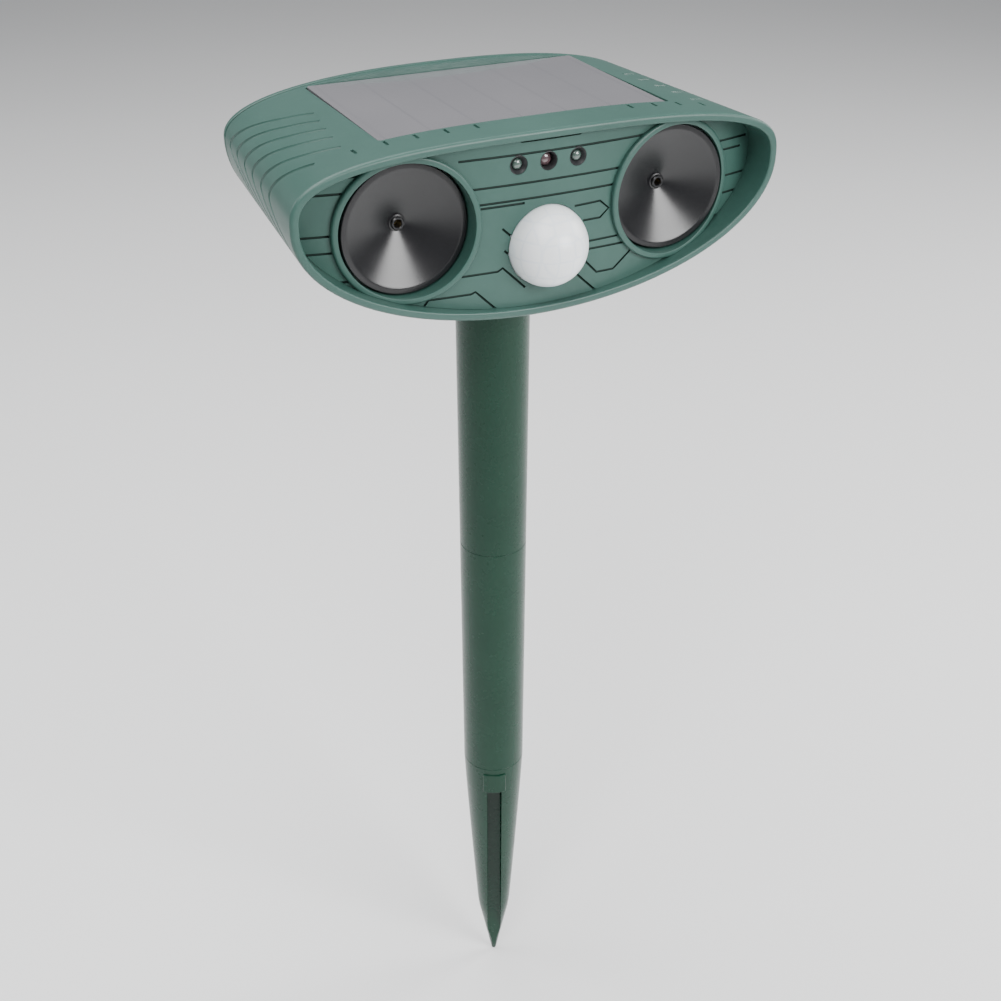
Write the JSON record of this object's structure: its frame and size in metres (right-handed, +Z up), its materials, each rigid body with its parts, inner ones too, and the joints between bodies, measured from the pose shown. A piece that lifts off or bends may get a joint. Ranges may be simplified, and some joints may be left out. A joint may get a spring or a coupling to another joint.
{
  "type": "ultrasonic pest repeller",
  "caption": "Solar ultrasonic pest repeller: an oval head with two horns, a motion sensor dome, flash lights and a top solar panel on a plug-together ground stake.",
  "frame": {"origin": "tip of the ground spike, on the stake's axis", "axes": "+Z up along the stake, +X to the right, -Y to the front where the horns point"},
  "size_m": [0.1456, 0.0928, 0.3555],
  "materials": {
    "housing_plastic": "fine-grained moulded plastic, satin",
    "stake_plastic": "polished moulded plastic",
    "horn_lacquer": "metallic grey lacquer, glossy",
    "solar_glass": "clear epoxy cover, glossy",
    "solar_cell": "dark cells with fine lines",
    "dome_plastic": "milky lens plastic with moulded facets",
    "rubber_black": "soft rubber",
    "foam_black": "closed-cell foam",
    "board_green": "solder mask over copper tracks",
    "board_white": "glass-fibre laminate",
    "plastic_black": "moulded plastic",
    "steel_bright": "plated steel",
    "brass": "rolled brass",
    "cell_wrap": "shrink sleeve",
    "light_clear": "clear moulded epoxy",
    "light_tinted": "tinted moulded epoxy"
  },
  "bodies": {
    "spike": {"ground_spike": "stake_plastic"},
    "lower_tube": {"stake_tube_lower": "stake_plastic"},
    "upper_tube": {"stake_tube_upper": "stake_plastic"},
    "head": {"housing_shell": "housing_plastic", "front_panel": "housing_plastic", "rear_cover": "housing_plastic", "rear_seal": "rubber_black", "solar_glass": "solar_glass", "solar_cells": "solar_cell", "solar_backing_board": "board_white", "solar_foam": "foam_black", "horn_left": "horn_lacquer", "horn_right": "horn_lacquer", "horn_foam_left": "foam_black", "horn_foam_right": "foam_black", "piezo_driver_left": "brass", "piezo_driver_right": "brass", "sensor_dome": "dome_plastic", "motion_sensor": "steel_bright", "flash_light_left": "light_clear", "flash_light_right": "light_clear", "indicator_light": "light_tinted", "sensor_board": "board_green", "main_board": "board_green", "main_board_chips": "plastic_black", "port_board": "board_green", "rotary_switch": "plastic_black", "charging_socket": "steel_bright", "battery_tray": "plastic_black", "battery_cell_top": "cell_wrap", "battery_cell_middle": "cell_wrap", "battery_cell_bottom": "cell_wrap", "battery_springs": "steel_bright", "battery_contacts": "steel_bright", "cover_screws": "steel_bright", "panel_screws": "steel_bright", "tray_screws": "steel_bright", "board_screws": "steel_bright"},
    "knob": {"mode_knob": "plastic_black"},
    "plug": {"charging_plug": "rubber_black"},
    "door": {"battery_door": "housing_plastic", "door_seal": "rubber_black", "door_screw": "steel_bright"}
  },
  "joints": [
    {"name": "lower_joint_slide", "type": "slide", "parent": "spike", "child": "lower_tube", "axis": [0, 0, 1], "range_m": [0, 0.018]},
    {"name": "upper_joint_slide", "type": "slide", "parent": "lower_tube", "child": "upper_tube", "axis": [0, 0, 1], "range_m": [0, 0.018]},
    {"name": "head_slide", "type": "slide", "parent": "upper_tube", "child": "head", "axis": [0, 0, 1], "range_m": [0, 0.018]},
    {"name": "mode_knob_turn", "type": "hinge", "parent": "head", "child": "knob", "pos_m": [0.046, 0.041, 0.3296], "axis": [0, 1, 0], "range_deg": [-120, 120]},
    {"name": "charging_plug_pull", "type": "slide", "parent": "head", "child": "plug", "axis": [0, 1, 0], "range_m": [0, 0.008]},
    {"name": "battery_door_pull", "type": "slide", "parent": "head", "child": "door", "axis": [0, 1, 0], "range_m": [0, 0.012]}
  ]
}
